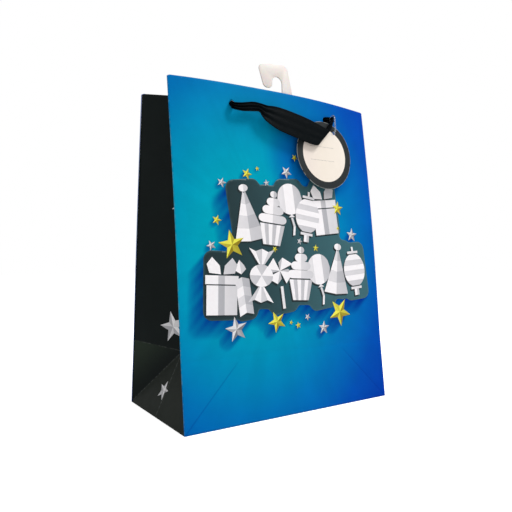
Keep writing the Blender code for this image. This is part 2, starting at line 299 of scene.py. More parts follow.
def linear(red, green, blue):
    """A colour given as 0..255 display values."""
    def channel(value):
        share = value / 255
        return share / 12.92 if share <= 0.04045 else ((share + 0.055) / 1.055) ** 2.4
    return (channel(red), channel(green), channel(blue), 1.0)


class Signal:
    """A number worked out by a material's nodes, for use in plain arithmetic."""

    def __init__(self, paint, socket):
        self.paint = paint
        self.socket = socket

    def __add__(self, other):
        return self.paint.math('ADD', self, other)

    def __sub__(self, other):
        return self.paint.math('SUBTRACT', self, other)

    def __mul__(self, other):
        return self.paint.math('MULTIPLY', self, other)

    def __truediv__(self, other):
        return self.paint.math('DIVIDE', self, other)

    def __abs__(self):
        return self.paint.math('ABSOLUTE', self)


class Paint:
    """A node material and short ways to add to it. A value is a number, a colour, a socket or a Signal."""

    def __init__(self, name, **shader_inputs):
        self.material = bpy.data.materials.new(name)
        self.material.use_nodes = True
        self.tree = self.material.node_tree
        self.shader = self.tree.nodes["Principled BSDF"]
        self.put(self.shader, **shader_inputs)

    def put(self, made, **inputs):
        for key, value in inputs.items():
            self.feed(made.inputs[key.replace("_", " ")], value)
        return made

    def feed(self, socket, value):
        if isinstance(value, Signal):
            value = value.socket
        if isinstance(value, bpy.types.NodeSocket):
            self.tree.links.new(value, socket)
        else:
            socket.default_value = value

    def node(self, kind, **inputs):
        return self.put(self.tree.nodes.new(kind), **inputs)

    def math(self, operation, *values):
        made = self.tree.nodes.new("ShaderNodeMath")
        made.operation = operation
        for socket, value in zip(made.inputs, values):
            self.feed(socket, value)
        return Signal(self, made.outputs[0])

    def step(self, value, low, high):
        """0 below low, 1 above high; the other way round when high is the smaller."""
        made = self.node("ShaderNodeMapRange", Value=value, From_Min=low, From_Max=high)
        made.interpolation_type = 'SMOOTHSTEP'
        return Signal(self, made.outputs["Result"])

    def mix(self, share, first, second, blend='MIX'):
        made = self.tree.nodes.new("ShaderNodeMix")
        made.data_type = 'RGBA'
        made.blend_type = blend
        self.feed(made.inputs[0], share)
        self.feed(made.inputs[6], first)
        self.feed(made.inputs[7], second)
        return made.outputs[2]

    def ramp(self, value, stops):
        made = self.node("ShaderNodeValToRGB", Fac=value)
        elements = made.color_ramp.elements
        while len(elements) < len(stops):
            elements.new(0.5)
        for element, (position, colour) in zip(elements, stops):
            element.position = position
            element.color = colour
        return made.outputs["Color"]

    def uv(self, layer):
        """The two numbers of a UV layer."""
        made = self.tree.nodes.new("ShaderNodeUVMap")
        made.uv_map = layer
        parts = self.node("ShaderNodeSeparateXYZ", Vector=made.outputs["UV"])
        return Signal(self, parts.outputs["X"]), Signal(self, parts.outputs["Y"])

    def vector(self, x, y=0.0):
        return self.node("ShaderNodeCombineXYZ", X=x, Y=y).outputs["Vector"]

    def noise(self, scale, detail=3.0, vector=None):
        """Noise over the object, or over a vector of its own."""
        if vector is None:
            vector = self.tree.nodes.new("ShaderNodeTexCoord").outputs["Object"]
        made = self.node("ShaderNodeTexNoise", Scale=scale, Detail=detail, Vector=vector)
        return Signal(self, made.outputs["Fac"])

    def vary(self, colour, value, amount):
        """The colour made darker and lighter by amount, as value goes from 0 to 1."""
        brightness = self.math('MULTIPLY_ADD', value, 2 * amount, 1 - amount)
        grey = self.node("ShaderNodeCombineColor", Red=brightness, Green=brightness, Blue=brightness)
        return self.mix(1.0, colour, grey.outputs["Color"], 'MULTIPLY')

    def bump(self, height, distance, strength):
        made = self.node("ShaderNodeBump", Height=height, Distance=distance, Strength=strength)
        self.put(self.shader, Normal=made.outputs["Normal"])

    def finish(self, **shader_inputs):
        """Set the shader's last inputs and hand over the material."""
        self.put(self.shader, **shader_inputs)
        return self.material


def largest(first, *others):
    for other in others:
        first = first.paint.math('MAXIMUM', first, other)
    return first


def square_sum(x, x0, width, y, y0, height):
    """Squared distance from (x0, y0), in units of width and height."""
    across = (x - x0) / width
    up = (y - y0) / height
    return across * across + up * up


def paper_relief(paint):
    """The fine tooth of coated paper, with broad faint unevenness under it."""
    paint.bump(paint.noise(2600.0, 2.0) * 0.25 + paint.noise(90.0), 0.12 * MM, 0.55)


def ink_relief(paint):
    """The fine grain of printed ink."""
    paint.bump(paint.noise(2400.0, 2.0), 0.06 * MM, 0.5)


def blue_print():
    """Blue glow that darkens outwards, with faint rays, printed shadows, a painted shadow of the ribbon and
    tag, painted shade along the bottom creases and worn white edges.
    """
    paint = Paint("blue_print", Specular_IOR_Level=0.02)
    x, s = paint.uv("Sheet")
    spread = square_sum(x, -35 * MM, 98 * MM, s, 126 * MM, 120 * MM)
    glow = paint.ramp(spread / 3.0, [
        (0.00, linear(0, 170, 190)), (0.16, linear(0, 147, 188)), (0.34, linear(0, 118, 185)),
        (0.60, linear(0, 82, 180)), (1.00, linear(0, 48, 170))])
    angle = paint.math('ARCTAN2', s - 0.52 * HEIGHT, x + 12 * MM)
    glow = paint.vary(glow, paint.noise(1.0, 2.0, paint.vector(angle * 7.0)), 0.10)
    glow = paint.vary(glow, paint.noise(55.0, 4.0), 0.10)
    # A deep-blue patch round the tag and under the ribbon: a painted shadow of the ribbon and the tag, laid
    # into the printed glow.
    ribbon_shadow_painted = paint.step(square_sum(x, 26 * MM, 42 * MM, s, 188 * MM, 36 * MM), 1.3, 0.1)
    glow = paint.mix(ribbon_shadow_painted * 0.62, glow, linear(0, 52, 176))
    printed = paint.mix(paint.uv("Shade")[0], glow, linear(0, 30, 140))
    reach = abs(x)
    # A darker blue line along the diagonal creases that rise from the bottom corners: painted shade in the
    # crease.
    slant = abs(reach + s - WIDTH / 2)
    crease = paint.step(slant, 1.1 * MM, 0.2 * MM) * paint.step(s, CREASE_HEIGHT, 34 * MM)
    printed = paint.mix(crease * 0.3, printed, linear(0, 48, 140))
    side = paint.step(reach, WIDTH / 2 - 0.5 * MM, WIDTH / 2 + 0.1 * MM)
    foot = paint.step(s, 0.7 * MM, 0.1 * MM)
    rim = paint.step(abs(s - HEIGHT), 0.9 * MM, 0.2 * MM)
    wear = largest(side, foot, rim * 0.6) * paint.step(paint.noise(420.0, 4.0), 0.42, 0.68)
    paper_relief(paint)
    return paint.finish(Base_Color=paint.mix(wear * 0.4, printed, linear(120, 178, 200)),
                        Roughness=paint.noise(160.0) * 0.14 + 0.34)


def black_print():
    """Near-black print of the gussets, rubbed a little lighter along the creases, with painted light on the
    lower triangles that turn up.
    """
    paint = Paint("black_print", Specular_IOR_Level=0.10)
    a, s = paint.uv("Sheet")
    base = paint.vary(linear(15, 23, 22), paint.noise(45.0, 4.0), 0.30)
    # Lighter on the triangle below the level fold and on the foot, which turn up towards the lamps: painted
    # light.
    painted_light_below_fold = paint.step(s, HALF + 0.4 * MM, HALF - 0.4 * MM) * paint.step(s - a, 0.0, 42 * MM)
    base = paint.mix(painted_light_below_fold * 0.8, base, linear(42, 54, 42))
    painted_light_on_foot = paint.step(a - s, -0.2 * MM, 0.2 * MM)
    base = paint.mix(painted_light_on_foot * 0.5, base, linear(42, 48, 40))
    centre = paint.step(abs(a - HALF), 0.9 * MM, 0.1 * MM)
    diagonal = paint.step(abs(a - s), 0.7 * MM, 0.1 * MM)
    below = paint.step(s, HALF + 0.5 * MM, HALF - 0.5 * MM)
    level = paint.step(abs(s - HALF), 0.6 * MM, 0.1 * MM)
    foot = paint.step(s, 0.9 * MM, 0.1 * MM)
    crease = largest(centre, diagonal * below, level * 0.5, foot)
    rubbed = crease * paint.step(paint.noise(380.0, 4.0), 0.35, 0.7)
    paper_relief(paint)
    return paint.finish(Base_Color=paint.mix(rubbed * 0.45, base, linear(120, 126, 122)),
                        Roughness=paint.noise(120.0) * 0.16 + 0.38)


def raw_paper():
    """The unprinted inside of the sheet: white paper with a cloudy formation and short fibres."""
    paint = Paint("raw_paper", Roughness=0.8, Specular_IOR_Level=0.2)
    cloud = paint.vary(linear(233, 232, 226), paint.noise(140.0, 5.0), 0.05)
    fibre = paint.step(paint.noise(1500.0, 2.0), 0.66, 0.74)
    paint.bump(paint.noise(1800.0, 4.0), 0.1 * MM, 0.6)
    return paint.finish(Base_Color=paint.mix(fibre * 0.25, cloud, linear(196, 192, 182)))


def grey_card():
    """Recycled board, grey with lighter and darker flecks."""
    paint = Paint("grey_board", Roughness=0.9, Specular_IOR_Level=0.15)
    base = paint.vary(linear(158, 154, 145), paint.noise(260.0, 5.0), 0.12)
    dark = paint.step(paint.noise(1300.0, 2.0), 0.64, 0.70)
    light = paint.step(paint.noise(900.0, 2.0), 0.66, 0.72)
    base = paint.mix(dark * 0.5, base, linear(84, 80, 76))
    paint.bump(paint.noise(1600.0, 4.0), 0.15 * MM, 0.7)
    return paint.finish(Base_Color=paint.mix(light * 0.5, base, linear(214, 208, 196)))


def flap_print():
    """The gusset print carried round under the base, scuffed where it rubs."""
    paint = Paint("flap_print", Specular_IOR_Level=0.25)
    base = paint.vary(linear(22, 28, 28), paint.noise(60.0, 4.0), 0.25)
    scuff = paint.step(paint.noise(240.0, 5.0), 0.60, 0.72)
    paper_relief(paint)
    return paint.finish(Base_Color=paint.mix(scuff * 0.22, base, linear(120, 122, 118)),
                        Roughness=paint.noise(120.0) * 0.2 + 0.4)


def ink(name, dark, light, roughness):
    """Print whose tone runs from the shaded side of a fold to its lit side."""
    paint = Paint(name, Specular_IOR_Level=0.3)
    tone, along = paint.uv("Ink")
    colour = paint.mix(along * 0.45, paint.mix(tone, dark, light), dark)
    ink_relief(paint)
    return paint.finish(Base_Color=paint.vary(colour, paint.noise(300.0), 0.04),
                        Roughness=paint.noise(200.0) * 0.1 + roughness)


def plaque_ink():
    """Dark teal behind the shapes, lighter to the right and along its cut-out edge."""
    paint = Paint("plaque_ink", Roughness=0.4, Specular_IOR_Level=0.25)
    across = paint.step(paint.uv("Sheet")[0], -70 * MM, 80 * MM)
    base = paint.mix(across, linear(28, 50, 54), linear(58, 104, 112))
    base = paint.vary(base, paint.noise(120.0, 4.0), 0.08)
    border = paint.uv("Shade")[0]
    ink_relief(paint)
    return paint.finish(Base_Color=paint.mix(border * 0.3, base, linear(84, 128, 134)))


def satin():
    """Black satin: a warp-faced weave that shines along the ribbon, with a firmer selvedge."""
    paint = Paint("black_satin", Specular_IOR_Level=0.03)
    u, v = paint.uv("Cloth")
    threads = paint.math('SINE', v * (2 * math.pi * 90))
    picks = paint.math('SINE', u * (2 * math.pi / (0.30 * MM)))
    streak = paint.noise(1.0, 3.0, paint.vector(u * 60.0, v * 24.0))
    edge = paint.step(abs(v - 0.5), 0.455, 0.475)
    base = paint.vary(linear(6, 12, 15), streak, 0.35)
    paint.bump(threads * 0.5 + picks * 0.35 + edge * 1.5, 0.03 * MM, 0.8)
    return paint.finish(Base_Color=paint.mix(edge * 0.6, base, linear(12, 18, 21)),
                        Roughness=streak * 0.16 + 0.36 + edge * 0.15)


def tag_card():
    """Round tag: cream centre with two plain writing lines, dark printed ring and a pale cut edge."""
    paint = Paint("tag_card", Roughness=0.5, Specular_IOR_Level=0.25)
    x, y = paint.uv("Sheet")
    radius = paint.math('SQRT', x * x + y * y)
    # The cream runs darker and pinker to the left: painted shade from the ribbon.
    cream = paint.ramp(x / (2 * TAG_RADIUS) + 0.5, [
        (0.0, linear(240, 226, 218)), (0.45, linear(247, 236, 222)), (1.0, linear(250, 240, 228))])
    cream = paint.vary(cream, paint.noise(200.0, 4.0), 0.03)
    upper, lower = (abs(y - TAG_RADIUS * height) for height in (0.24, -0.16))
    rule = paint.step(paint.math('MINIMUM', upper, lower), 0.22 * MM, 0.12 * MM)
    span = paint.step(abs(x + 0.08 * TAG_RADIUS), 0.45 * TAG_RADIUS, 0.43 * TAG_RADIUS)
    dash = paint.step(paint.math('SINE', x * (2 * math.pi / (1.4 * MM))), -0.5, -0.2)
    centre = paint.mix(rule * span * dash * 0.7, cream, linear(120, 112, 110))
    ring = paint.step(radius, 0.785 * TAG_RADIUS, 0.79 * TAG_RADIUS)
    colour = paint.mix(ring, centre, paint.vary(linear(33, 39, 41), paint.noise(160.0, 4.0), 0.18))
    edge = paint.step(radius, 0.983 * TAG_RADIUS, 0.993 * TAG_RADIUS)
    cut = edge * paint.step(paint.noise(260.0), 0.36, 0.52)
    paper_relief(paint)
    return paint.finish(Base_Color=paint.mix(cut * 0.6, colour, linear(190, 194, 190)))


def frosted_plastic():
    """Milky moulded plastic of the hang hook."""
    paint = Paint("frosted_plastic", Specular_IOR_Level=0.4, Transmission_Weight=0.12,
                  Subsurface_Weight=0.25, Subsurface_Scale=1.0 * MM)
    paint.bump(paint.noise(1400.0), 0.05 * MM, 0.5)
    return paint.finish(Base_Color=paint.vary(linear(240, 232, 226), paint.noise(220.0, 4.0), 0.04),
                        Roughness=paint.noise(500.0) * 0.2 + 0.3)


def clear_nylon():
    """Clear nylon of the tag's loop."""
    paint = Paint("clear_nylon", Transmission_Weight=0.75, IOR=1.5)
    return paint.finish(Base_Color=paint.vary(linear(226, 230, 232), paint.noise(900.0, 2.0), 0.05),
                        Roughness=paint.noise(1200.0) * 0.12 + 0.08)


# ---------------------------------------------------------------- panels

def edge_belly(amount, s):
    """How far a panel's side edges bulge outwards above the gusset's bottom fold."""
    share = np.clip((np.asarray(s, dtype=float) - HALF) / (HEIGHT - HALF), 0.0, 1.0)
    return amount * np.sin(np.pi * share)


class Panel:
    """A wide panel's shape and place. turn is 1 for the front and -1 for the back."""

    def __init__(self, side, turn, belly):
        self.side = side
        self.body = f"{side}_panel"
        self.turn = turn
        self.belly = belly
        self.bow = (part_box(self.body)[1].z - HEIGHT * COS) / SIN
        _, y, z = JOINTS[f"{side}_handle_swing"]["pos_m"]
        out = turn * y + HALF
        self.hole_height = out * SIN + z * COS
        self.axis_depth = out * COS - z * SIN

    def at(self, x, depth, s):
        """Points of the row frame."""
        x, depth, s = np.broadcast_arrays(x, depth, s)
        y = -HALF + s * SIN + depth * COS
        z = s * COS - depth * SIN
        return np.stack([self.turn * x, self.turn * y, z], axis=-1)

    def face(self, x, s):
        """Depth of the printed face: bowed outwards at the rim, creased where the bag folds flat."""
        across = np.clip(1 - (2 * x / WIDTH) ** 2, 0.0, 1.0)
        up = np.clip(s / HEIGHT, 0.0, 1.0)
        broad = np.sin(38 * x + 21 * s + 0.6)
        narrow = 0.7 * np.sin(61 * s - 47 * x + self.turn)
        waves = (broad + narrow) * across * up
        level = np.exp(-((s - CREASE_HEIGHT) / CREASE_WIDTH) ** 2)
        from_corner = (WIDTH / 2 - np.abs(x) - s) / math.sqrt(2)
        slope = np.exp(-(from_corner / CREASE_WIDTH) ** 2) * (s < CREASE_HEIGHT)
        groove = CREASE_GROOVE * np.maximum(level, slope) * np.minimum(1.0, 8 * across) * (s > 0.5 * MM)
        return -(self.bow * across * up ** 1.5 + edge_belly(self.belly, s) + WARP * waves) + groove

    def outwards(self):
        return tuple(self.at(0.0, -1.0, 0.0) - self.at(0.0, 0.0, 0.0))


def panel_columns():
    """Across a panel, round its side folds: the distance along the paper, its x and its depth."""
    flat = WIDTH / 2 - CORNER
    count = 2 * round(flat / SHEET_STEP)
    inner = np.linspace(-flat, flat, count + 1)
    bend = np.linspace(0.0, math.pi / 2, CORNER_STEPS)[1:]
    arc_x = np.append(flat + CORNER * np.sin(bend), WIDTH / 2)
    arc_depth = np.append(CORNER * (1 - np.cos(bend)), CORNER + CORNER_RETURN)
    arc_length = np.append(flat + CORNER * bend, flat + CORNER * math.pi / 2 + CORNER_RETURN)
    along = np.concatenate([-arc_length[::-1], inner, arc_length])
    x = np.concatenate([-arc_x[::-1], inner, arc_x])
    depth = np.concatenate([arc_depth[::-1], np.zeros(len(inner)), arc_depth])
    return along, x, depth


def fold_over_rows(outside, radius, hem):
    """Up a sheet, over the rim and down inside: paper length, s, depth inside and share of the turn."""
    top = HEIGHT - radius
    turn = np.linspace(0.0, math.pi, RIM_STEPS)[1:]
    inside = np.linspace(top, HEIGHT - hem, round(hem / HEM_STEP))[1:]
    s = np.concatenate([outside, top + radius * np.sin(turn), inside])
    depth = np.concatenate([np.zeros(len(outside)), radius * (1 - np.cos(turn)),
                            np.full(len(inside), 2 * radius)])
    share = np.concatenate([np.zeros(len(outside)), turn / math.pi, np.ones(len(inside))])
    length = np.concatenate([outside, top + radius * turn, top + radius * math.pi + (top - inside)])
    return length, s, depth, share


def make_panel_sheet(panel, finishes):
    """The printed sheet of a wide panel, folded over the rim and turned in, with its ribbon holes."""
    along, x_out, depth_out = panel_columns()
    rise = np.linspace(0.0, HEIGHT - STACK / 2, round(HEIGHT / SHEET_STEP))
    length, s, depth_in, share = fold_over_rows(rise, STACK / 2, HEM)
    share = share[:, None]
    x_in = along * (WIDTH / 2 - HEM_SIDE_GAP) / along[-1]
    x = (1 - share) * x_out + share * x_in
    depth = (1 - share) * depth_out + depth_in[:, None]
    s_grid = np.broadcast_to(s[:, None], x.shape)
    points = panel.at(x, panel.face(x, s_grid) + depth, s_grid)
    layers = {"Sheet": pairs(along, length[:, None]),
              "Shade": pairs(printed_shade(x, s_grid) * (1 - share), 0.0)}
    obj = add_mesh(f"{panel.side}_panel_sheet", points, grid_faces(*x.shape), layers,
                   [finishes["blue"], finishes["raw"]])
    thicken(obj, PAPER, inner_material=1)
    punch_ribbon_holes(obj, panel)
    attach(obj, panel.body, f"{panel.side}_print", panel.body, f"{panel.side}_top_hem")


def punch_ribbon_holes(obj, panel):
    for x in (-HOLE_X, HOLE_X):
        place = panel.at(x, panel.face(x, panel.hole_height) + STACK / 2, panel.hole_height)
        punch(obj, place, panel.outwards(), HOLE_RADIUS)


def make_layer(name, panel, x_range, s_range, depth, thickness, finish):
    """A plain sheet that lies behind a panel and follows its shape."""
    left, right = x_range
    low, high = s_range
    x, s = np.meshgrid(np.arange(left, right + 1e-6, LAYER_STEP),
                       np.linspace(low, high, max(4, round((high - low) / LAYER_STEP))))
    points = panel.at(x, panel.face(x, s) + depth, s)
    return thicken(add_mesh(name, points, grid_faces(*x.shape), {"Sheet": pairs(x, s)}, [finish]), thickness)


def make_top_card(panel, finishes):
    half = WIDTH / 2 - CARD_SIDE_GAP
    card = make_layer(f"{panel.side}_top_stiffener", panel, (-half, half),
                      (HEIGHT - CARD_HEIGHT, HEIGHT - CARD_TOP_GAP), CARD_BEHIND, CARD, finishes["card"])
    punch_ribbon_holes(card, panel)
    attach(card, panel.body, "grey_card", f"{panel.side}_top_card")


def make_seam_flap(panel, finishes):
    outer = SEAM_INSET - WIDTH / 2
    flap = make_layer("seam_glue_flap", panel, (outer, outer + SEAM_WIDTH),
                      (SEAM_INSET, HEIGHT - HEM - SEAM_HEM_GAP), SEAM_BEHIND, PAPER, finishes["flap"])
    attach(flap, panel.body, "side_print", "side_seam_flap")


# ---------------------------------------------------------------- printed artwork

# Slots of the folded-paper shapes, in millimetres and degrees: x, s, width, height, tilt
UPPER_SLOTS = [(-36, 146, 20, 40, 7), (-14, 143, 20, 39, -6), (3, 150, 18, 38, 5),
               (18.5, 145, 18, 38, -8), (36, 152, 19, 39, 6)]
LOWER_SLOTS = [(-58, 95, 20, 39, -3), (-41.5, 93, 11, 38, 7), (-26, 101, 18, 39, -4),
               (-9, 96, 18, 38, 6), (9.5, 102, 18, 39, -3), (28, 97, 18, 38, 7),
               (46, 105, 18, 39, -6), (65, 103, 18, 38, 5)]

# Where the plaque also runs on between its two rows
BRIDGE_SLOTS = [(-20, 121, 56, 12, 0), (26, 123, 42, 12, 0)]

# Stars, in millimetres: x, s and height
GOLD_STARS = [(-34.5, 174, 8), (-25.5, 178.5, 3.4), (9, 190, 5.5), (50, 153, 11), (49, 137, 3.4),
              (-60, 140, 7), (-49, 123, 20), (-13.5, 120, 4.5), (25, 121, 5.5), (-14, 67.5, 15),
              (-1.5, 66, 3.2), (5, 63.5, 4.8), (46.5, 71, 21)]
SILVER_STARS = [(-55, 166.5, 7), (-18, 168.5, 4.8), (0.5, 178, 9.5), (64, 132, 11), (-65, 122.5, 7),
                (9.5, 126, 5), (-48, 64.5, 17), (14, 69, 5), (29.5, 60, 10)]
GUSSET_STARS = [(62, 66, 22), (54, 19, 14), (65, 156, 13), (30, 112, 11), (24, 194, 15)]


def slot_distance(x, s, slot):
    """Signed distance from a slot's tilted box, spread by the plaque's margin and rounded at its corners."""
    cx, cs, width, height, tilt = slot
    angle = math.radians(tilt)
    dx = x - cx * MM
    ds = s - cs * MM
    inset = PLAQUE_CORNER - PLAQUE_MARGIN
    across = np.abs(dx * math.cos(angle) + ds * math.sin(angle)) - width * MM / 2 + inset
    up = np.abs(ds * math.cos(angle) - dx * math.sin(angle)) - height * MM / 2 + inset
    outside = np.hypot(np.maximum(across, 0.0), np.maximum(up, 0.0))
    return outside + np.minimum(np.maximum(across, up), 0.0) - PLAQUE_CORNER


def smooth_union(first, second, reach):
    """The smaller of two distances, with the corner between them filled in."""
    share = np.clip(0.5 + 0.5 * (second - first) / reach, 0.0, 1.0)
    return second * (1 - share) + first * share - reach * share * (1 - share)


def plaque_distance(x, s):
    distance = None
    for slot in UPPER_SLOTS + LOWER_SLOTS + BRIDGE_SLOTS:
        box = slot_distance(x, s, slot)
        distance = box if distance is None else smooth_union(distance, box, 2.5 * MM)
    return distance


def star_distance(x, s, star):
    cx, cs, span = star
    return np.hypot(x - cx * MM, s - cs * MM) - 0.36 * span * MM


def cast_shade(x, s, distance, reach, soft, steps=12):
    """Shade of a shape drawn out to the lower left, fading as it goes."""
    shade = np.zeros(x.shape)
    for step in range(1, steps + 1):
        share = step / steps
        shifted = distance(x + SHADE_SLANT[0] * reach * share, s + SHADE_SLANT[1] * reach * share)
        cover = np.clip(0.5 - shifted / soft, 0.0, 1.0)
        shade = np.maximum(shade, cover * (1 - share) ** SHADE_FADE)
    return shade


def printed_shade(x, s):
    """The shadows printed on the blue: long ones from the plaque, short ones from the stars."""
    shade = cast_shade(x, s, plaque_distance, PLAQUE_SHADE, PLAQUE_SHADE_SOFT)
    for star in GOLD_STARS + SILVER_STARS:
        reach = STAR_SHADE * star[2] * MM
        near = cast_shade(x, s, lambda u, v: star_distance(u, v, star), reach, STAR_SHADE_SOFT, 6)
        shade = np.maximum(shade, 0.9 * near)
    streaks = 0.5 + 0.5 * np.sin((x - s) / (1.9 * MM)) * np.sin((x - s) / (5.3 * MM) + 1.0)
    return shade * (1 - 0.3 * streaks)


def arc(cx, cy, rx, ry, start, end, steps=12):
    """Points on an arc of an ellipse, angles in degrees."""
    angles = np.radians(np.linspace(start, end, steps + 1))
    return [(cx + rx * math.cos(t), cy + ry * math.sin(t)) for t in angles]


def bar(left, right, bottom, top):
    return [(left, bottom), (right, bottom), (right, top), (left, top)]


def mirrored(points):
    return [(-x, y) for x, y in points]


def halves(left, light, dark):
    """The left half of a folded piece with its lit tone, and its mirror image in the shade."""
    return [(left, light), (mirrored(left), dark)]


def ellipse_slices(cy, rx, ry, cuts, upright):
    """Slices of an ellipse between neighbouring cuts, upright ones side by side, others stacked."""
    slices = []
    for low, high in zip(cuts, cuts[1:]):
        across = np.linspace(low, high, 7)
        if upright:
            rise = [ry * math.sqrt(max(0.0, 1 - (x / rx) ** 2)) for x in across]
            upper = [(x, cy + h) for x, h in zip(across, rise)]
            lower = [(x, cy - h) for x, h in zip(across, rise)]
        else:
            reach = [rx * math.sqrt(max(0.0, 1 - ((y - cy) / ry) ** 2)) for y in across]
            upper = [(w, y) for y, w in zip(across, reach)]
            lower = [(-w, y) for y, w in zip(across, reach)]
        slices.append(lower + upper[::-1])
    return slices


# Each shape stands on y = 0, is 1 high and is a list of facets: an outline and a tone from 0 to 1.

def candle():
    half = 0.12
    facets = []
    for i in range(4):
        low = 0.16 * i
        high = low + 0.16
        left = [(-half, low), (0.0, low + 0.05), (0.0, high + 0.05), (-half, high)]
        facets += halves(left, (1.0, 0.72)[i % 2], (0.40, 0.20)[i % 2])
    flame = [(0.0, 0.74), (0.0, 1.0), (-0.45 * half - 0.01, 0.90), (-0.6 * half - 0.02, 0.82)]
    return facets + halves(flame, 1.0, 0.5)


def balloon():
    gores = ellipse_slices(0.70, 0.24, 0.30, [-0.24, -0.10, 0.08, 0.24], True)
    facets = list(zip(gores, (0.75, 1.0, 0.40)))
    knot = [(-0.06, 0.35), (0.06, 0.35), (0.0, 0.41)]
    lower = [(-0.02, 0.0), (0.02, 0.0), (0.05, 0.17), (0.01, 0.17)]
    upper = [(0.01, 0.17), (0.05, 0.17), (0.02, 0.34), (-0.02, 0.34)]
    return facets + [(knot, 0.8), (lower, 0.9), (upper, 0.6)]


def present():
    facets = [(bar(-0.24, -0.06, 0.0, 0.50), 1.0), (bar(-0.06, 0.04, 0.0, 0.50), 0.15),
              (bar(0.04, 0.24, 0.0, 0.50), 0.62), (bar(-0.26, -0.06, 0.52, 0.67), 1.0),
              (bar(-0.06, 0.04, 0.52, 0.67), 0.3), (bar(0.04, 0.26, 0.52, 0.67), 0.75)]
    loop = [(-0.02, 0.69), (-0.20, 0.71), (-0.24, 0.86), (-0.16, 0.98), (-0.04, 0.84)]
    return facets + halves(loop, 1.0, 0.5)


def party_hat():
    facets = []
    levels = [0.0, 0.22, 0.44, 0.64, 0.84]
    for i, (low, high) in enumerate(zip(levels, levels[1:])):
        wide = 0.25 * (1 - low / 0.92)
        narrow = 0.25 * (1 - high / 0.92)
        left = [(-wide, low + 0.03), (0.0, low), (0.0, high), (-narrow, high + 0.03)]
        facets += halves(left, (1.0, 0.7)[i % 2], (0.45, 0.22)[i % 2])
    return facets + halves(arc(0.0, 0.93, 0.075, 0.065, 90, 270), 1.0, 0.6)


def cupcake():
    facets = []
    for i in range(6):
        left, right = i / 3 - 1, (i + 1) / 3 - 1
        pleat = [(0.15 * left, 0.0), (0.15 * right, 0.0), (0.22 * right, 0.38), (0.22 * left, 0.38)]
        facets.append((pleat, (1.0, 0.35)[i % 2]))
    for level, half in ((0.48, 0.25), (0.64, 0.19), (0.79, 0.12)):
        side = arc(0.08 - half, level, 0.08, 0.077, 90, 270, 8)
        facets += halves(side + [(0.0, level - 0.077), (0.0, level + 0.077)], 1.0, 0.6)
    return facets + halves(arc(0.0, 0.935, 0.062, 0.062, 90, 270), 0.9, 0.3)


def pinwheel():
    facets = [(bar(-0.025, 0.025, 0.0, 0.42), 0.8)]
    blades = [([(0, 0), (0.27, 0.0), (0.15, 0.20)], 1.0), ([(0, 0), (0.15, 0.20), (0.04, 0.15)], 0.3)]
    for quarter in range(4):
        angle = math.radians(90 * quarter + 20)
        for blade, tone in blades:
            turned = [(x * math.cos(angle) - y * math.sin(angle),
                       0.71 + x * math.sin(angle) + y * math.cos(angle)) for x, y in blade]
            facets.append((turned, tone))
    return facets


def lantern():
    slices = ellipse_slices(0.52, 0.24, 0.34, [0.20, 0.31, 0.42, 0.52, 0.62, 0.73, 0.84], False)
    facets = list(zip(slices, (0.45, 1.0, 0.6, 1.0, 0.55, 0.95)))
    return facets + [(bar(-0.12, 0.12, 0.86, 0.91), 0.7), (bar(-0.02, 0.02, 0.91, 1.0), 0.9),
                     (bar(-0.12, 0.12, 0.13, 0.18), 0.7), (bar(-0.05, 0.0, 0.0, 0.13), 1.0),
                     (bar(0.0, 0.05, 0.0, 0.13), 0.4)]


def wrapped_sweet():
    facets = []
    for i in range(6):
        wedge = [(0.0, 0.5)] + arc(0.0, 0.5, 0.20, 0.20, 60 * i, 60 * i + 60, 5)
        facets.append((wedge, (1.0, 0.45)[i % 2]))
    for i in range(4):
        left, right = i / 2 - 1, (i + 1) / 2 - 1
        peaks = [(0.22 * right, (0.93, 0.98)[i % 2]), (0.22 * left, (0.98, 0.93)[i % 2])]
        pleat = [(0.05 * left, 0.70), (0.05 * right, 0.70)] + peaks
        facets.append((pleat, (1.0, 0.5)[i % 2]))
        facets.append(([(x, 1 - y) for x, y in pleat], (0.5, 1.0)[i % 2]))
    return facets


SHAPES = [party_hat, cupcake, balloon, lantern, present,
          present, candle, wrapped_sweet, pinwheel, cupcake, balloon, party_hat, lantern]


def place_shape(facets, slot):
    """Facets of a shape, sized, tilted and moved into its slot."""
    cx, cs, _, height, tilt = slot
    angle = math.radians(tilt)
    placed = []
    for outline, tone in facets:
        points = []
        for x, y in outline:
            across = x * height * SHAPE_SIZE * SHAPE_STRETCH * MM
            up = (y - 0.5) * height * SHAPE_SIZE * MM
            points.append((cx * MM + across * math.cos(angle) - up * math.sin(angle),
                           cs * MM + across * math.sin(angle) + up * math.cos(angle)))
        placed.append((points, tone))
    return placed


def star_facets(star, turn):
    """A five-pointed star as ten facets, lit from the upper left."""
    cx, cy, span = star
    outer = 0.53 * span * MM
    inner = 0.42 * outer
    facets = []
    for i in range(10):
        angles = [math.radians(90 + turn + 36 * k) for k in (i, i + 1)]
        radii = [outer, inner] if i % 2 == 0 else [inner, outer]
        edge = [(cx * MM + r * math.cos(t), cy * MM + r * math.sin(t)) for r, t in zip(radii, angles)]
        facing = (angles[0] + angles[1]) / 2 + (0.9 if i % 2 == 0 else -0.9)
        tone = 0.5 + 0.5 * math.cos(facing - math.radians(140))
        facets.append(([(cx * MM, cy * MM)] + edge, tone))
    return facets


def all_star_facets(stars):
    return [facet for i, star in enumerate(stars) for facet in star_facets(star, (i * 29) % 72 - 20)]


